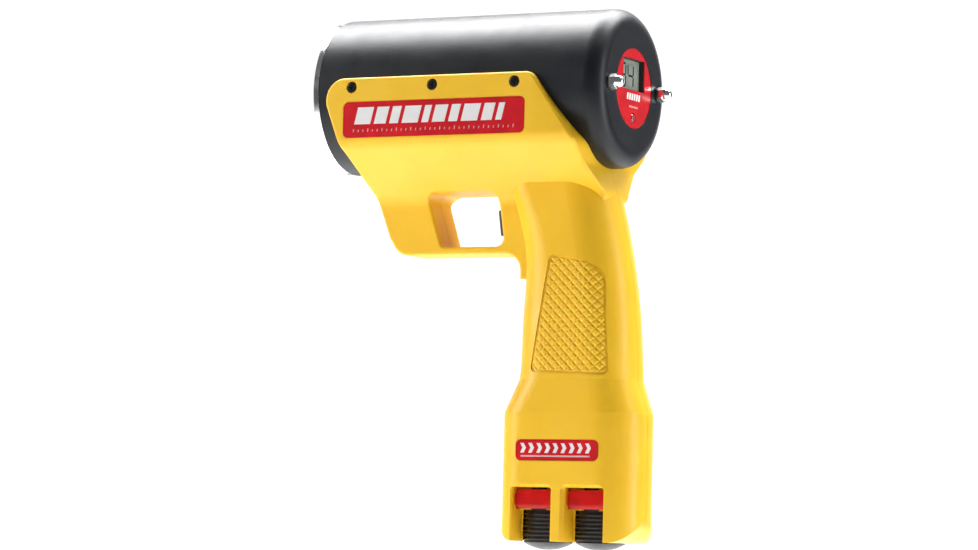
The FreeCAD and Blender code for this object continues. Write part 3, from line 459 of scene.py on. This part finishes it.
def side_badge_print(side_name, side):
    """A row of slanted speed bars over a line of small ticks."""
    low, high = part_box(f"{side_name}_side_badge")
    face = max(abs(low.y), abs(high.y))
    middle = (low.x + high.x) / 2

    def on_badge(a, b, depth):
        return (middle - side * -1 * (a - middle) if side > 0 else a, side * (face + depth), b)

    widths = (9.5, 7.0, 5.2, 9.5, 4.0, 7.4, 5.2, 9.5, 6.2, 3.4)
    x = low.x + 0.0065
    gap = 0.0021
    for i, wide in enumerate(widths):
        tall = 0.0088
        printed(f"{side_name}_side_bar_{i}", slanted_bar(x, low.z + 0.0068, wide * MM, tall, 0.0022),
                on_badge, "print_white")
        x += wide * MM + gap
    ticks = 34
    start, end = low.x + 0.0062, high.x - 0.0062
    for i in range(ticks):
        at = start + (end - start) * i / (ticks - 1)
        long = 0.0012 if i % 3 else 0.0017
        printed(f"{side_name}_side_tick_{i}", slanted_bar(at - 0.0003, low.z + 0.0028, 0.00045, long, 0.0002),
                on_badge, "print_grey")


def base_badge_print(side_name, side):
    """A row of chevrons over a thin rule, in place of lettering."""
    low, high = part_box(f"{side_name}_base_badge")
    face = max(abs(low.y), abs(high.y))

    def on_badge(a, b, depth):
        return (a, side * (face + depth), b)

    count = 9
    pitch = 0.0046
    for i in range(count):
        x = low.x + 0.0026 + pitch * i
        z, wide, lean, tall = low.z + 0.0038, 0.0020, 0.0013, 0.0026
        up = [(x, z), (x + wide, z), (x + wide + lean, z + tall), (x + lean, z + tall)]
        down = [(x + lean, z + tall), (x + wide + lean, z + tall), (x + wide, z + 2 * tall - 0.0002),
                (x, z + 2 * tall - 0.0002)]
        printed(f"{side_name}_base_mark_{i}_low", up, on_badge, "print_white")
        printed(f"{side_name}_base_mark_{i}_high", down, on_badge, "print_white")
    rule = rounded_outline(((low.x + 0.003, low.z + 0.0018, 0.0002), (high.x - 0.0045, low.z + 0.0018, 0.0002),
                            (high.x - 0.0045, low.z + 0.0026, 0.0002), (low.x + 0.003, low.z + 0.0026, 0.0002)), 2)
    printed(f"{side_name}_base_rule", rule, on_badge, "print_grey")


SEGMENTS = {
    "8": "abcdefg", "4": "bcfg",
}


def digit(name, symbol, y, z, face):
    """A seven-segment digit on the display glass; +Y is the viewer's right when looking forward."""
    wide, high, bar, gap = 0.0062, 0.0115, 0.00115, 0.00022
    lean = 0.0
    places = {
        "a": ((0, high), (wide, high)), "g": ((0, high / 2), (wide, high / 2)), "d": ((0, 0), (wide, 0)),
        "f": ((0, high / 2), (0, high)), "b": ((wide, high / 2), (wide, high)),
        "e": ((0, 0), (0, high / 2)), "c": ((wide, 0), (wide, high / 2)),
    }
    for key in "abcdefg":
        (ax, az), (bx, bz) = places[key]
        start, end = Vector((ax, az)), Vector((bx, bz))
        way = (end - start).normalized()
        across = Vector((-way.y, way.x)) * bar / 2
        tip = bar / 2
        start = start + way * gap
        end = end - way * gap
        shape = [start, start + way * tip + across, end - way * tip + across, end, end - way * tip - across,
                 start + way * tip - across]
        lit = key in SEGMENTS[symbol]
        printed(f"{name}_{key}", [tuple(p) for p in shape],
                lambda a, b, depth: (face + depth, y + a + lean * b, z + b),
                "lcd_dark" if lit else "lcd_ghost")


def display_print():
    low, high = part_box("display_glass")
    face = high.x + 0.00002
    middle_z = HEAD_AXIS + 0.007
    digit("digit_tens", "8", -0.0098, middle_z - 0.0060, face)
    digit("digit_units", "4", -0.0010, middle_z - 0.0060, face)


def fascia_print():
    """Generic marks under the display: a row of small slanted blocks and a fine dashed line."""
    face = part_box("fascia_label")[1].x

    def on_label(a, b, depth):
        return (face + depth, a, HEAD_AXIS + b)

    for i in range(6):
        y = -0.0080 + 0.0027 * i
        printed(f"fascia_block_{i}", slanted_bar(y, -0.0062, 0.0018, 0.0034, 0.0005), on_label, "print_white")
    for i in range(6):
        y = -0.0048 + 0.0017 * i
        printed(f"fascia_dash_{i}", slanted_bar(y, -0.0101, 0.0011, 0.0009, 0.0001), on_label, "print_grey")


def window_liner():
    """A black liner between the fascia and the display glass."""
    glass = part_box("display_glass")[1].x
    face = HEAD_REAR - 0.0008
    half_wide, half_high, wall = 0.01250, 0.0081, 0.0003
    outer = rounded_outline(((-half_wide, -half_high, 0.0006), (half_wide, -half_high, 0.0006),
                             (half_wide, half_high, 0.0006), (-half_wide, half_high, 0.0006)), 4)
    points, faces = [], []
    levels = ((glass, 0.0), (face, 0.0), (face, wall), (glass, wall))
    middle = HEAD_AXIS + 0.007
    for x, inset in levels:
        for a, b in outer:
            points.append((x, a - math.copysign(inset, a), middle + b - math.copysign(inset, b)))
    count = len(outer)
    for r in range(4):
        for i in range(count):
            onward = (i + 1) % count
            below, above = r * count, (r + 1) % 4 * count
            faces.append((below + i, below + onward, above + onward, above + i))
    mesh_piece("display_liner", points, faces, "frame_black", "gun", 40)


def springing_coil(node):
    """A still copy of a coil spring that rides on the gun in place of its CAD node."""
    coil = bpy.data.objects.new(f"{node}_coil", nodes[node].data.copy())
    bpy.context.scene.collection.objects.link(coil)
    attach(coil, "gun")
    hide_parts(node)
    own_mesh(coil)


def spring_coils():
    """Puts still copies in place of the trigger spring and the front and rear latch springs."""
    springing_coil("trigger_spring")
    for name in ("front", "rear"):
        springing_coil(f"{name}_latch_springs")


def build_details():
    spring_coils()
    for side_name, side in (("left", -1), ("right", 1)):
        checkered_panel(side_name, side)
        side_badge_print(side_name, side)
        base_badge_print(side_name, side)
    for name in ("front", "rear"):
        ribbed_cap(name)
        latch_button(name)
    display_print()
    fascia_print()
    window_liner()


# ---------------------------------------------------------------- camera, floor and light
def set_camera():
    """Looks from the gun's left rear, level with its foot, through a long lens."""
    turn, tilt, roll = math.radians(27.75), math.radians(-4.25), math.radians(1.48)
    back = Vector((math.sin(turn) * math.cos(tilt), -math.cos(turn) * math.cos(tilt), math.sin(tilt)))
    level = Vector((math.cos(turn), math.sin(turn), 0.0))
    rise = back.cross(level)
    right = level * math.cos(roll) + rise * math.sin(roll)
    up = rise * math.cos(roll) - level * math.sin(roll)
    aim = Vector((HEAD_REAR - 0.0004, 0.0, HEAD_AXIS))
    place = aim - right * 0.0739 - up * 0.0955 + back * 2.0
    camera = bpy.data.objects.new("Camera", bpy.data.cameras.new("Camera"))
    turned = Matrix((right, up, back)).transposed().to_4x4()
    camera.matrix_world = Matrix.Translation(place) @ turned
    camera.data.lens = 143.8
    camera.data.sensor_width = 36.0
    bpy.context.scene.collection.objects.link(camera)
    bpy.context.scene.camera = camera


def set_floor():
    bpy.ops.mesh.primitive_plane_add(size=30.0, location=(0.0, 0.0, -0.17))
    floor = bpy.context.object
    floor.name = "floor"
    floor.data.materials.append(simple("floor_white", (0.88, 0.88, 0.88), 0.9, spread=0.0, depth=0.0))


def area_light(name, place, aim, size, watts, color=(1.0, 1.0, 1.0), size_y=None):
    data = bpy.data.lights.new(name, "AREA")
    data.energy = watts
    data.size = size
    data.color = color
    if size_y:
        data.shape = "RECTANGLE"
        data.size_y = size_y
    lamp = bpy.data.objects.new(name, data)
    lamp.location = place
    lamp.rotation_euler = (Vector(aim) - Vector(place)).to_track_quat("-Z", "Y").to_euler()
    bpy.context.scene.collection.objects.link(lamp)
    return lamp


def glowing_sheet(name, place, aim, wide, high, strength):
    """A plain white sheet that shines, for the backdrop."""
    bpy.ops.mesh.primitive_plane_add(size=1.0, location=place)
    sheet = bpy.context.object
    sheet.name = name
    sheet.scale = (wide, high, 1.0)
    sheet.rotation_euler = (Vector(aim) - Vector(place)).to_track_quat("Z", "Y").to_euler()
    material = bpy.data.materials.new(name)
    material.use_nodes = True
    shader = material.node_tree.nodes["Principled BSDF"]
    shader.inputs["Base Color"].default_value = (0.0, 0.0, 0.0, 1.0)
    shader.inputs["Emission Color"].default_value = (1.0, 1.0, 1.0, 1.0)
    shader.inputs["Emission Strength"].default_value = strength
    sheet.data.materials.append(material)
    sheet.visible_diffuse = False


def card(name, place, aim, wide, high, color=(0.01, 0.01, 0.01)):
    """A matt card that only reflections see, so that the bright metal has something dark in it."""
    bpy.ops.mesh.primitive_plane_add(size=1.0, location=place)
    sheet = bpy.context.object
    sheet.name = name
    sheet.scale = (wide, high, 1.0)
    sheet.rotation_euler = (Vector(aim) - Vector(place)).to_track_quat("Z", "Y").to_euler()
    material = simple(name, color, 0.9, spread=0.0, depth=0.0)
    sheet.data.materials.append(material)
    sheet.visible_camera = False
    sheet.visible_shadow = False
    sheet.visible_diffuse = False


def set_light():
    """A strong softbox overhead, a gentle fill from the camera's left and a strip behind the grip."""
    world = bpy.data.worlds.new("World")
    world.use_nodes = True
    world.node_tree.nodes["Background"].inputs["Color"].default_value = (1.0, 1.0, 1.0, 1.0)
    world.node_tree.nodes["Background"].inputs["Strength"].default_value = 0.14
    bpy.context.scene.world = world
    head = (0.0, 0.0, 0.22)
    middle = (0.0, 0.0, 0.13)
    glowing_sheet("backdrop", (-1.2, 2.2, 0.4), (0.0, 0.0, 0.2), 4.5, 3.0, 1.15)
    area_light("overhead", (-0.10, 0.27, 0.95), head, 1.4, 40.0, size_y=0.55)
    area_light("fill_left", (-1.25, -0.75, 0.50), middle, 0.7, 13.0)
    area_light("rear_strip", (1.05, 0.22, 0.15), middle, 0.25, 5.0, size_y=0.9)
    card("dark_card_left", (-0.75, -0.85, 0.20), head, 0.35, 1.1)
    card("dark_card_front", (-1.0, -0.25, 0.30), head, 0.5, 0.9)
    bpy.context.scene.view_settings.view_transform = "Standard"


dress_cad()
build_details()
set_camera()
set_floor()
set_light()
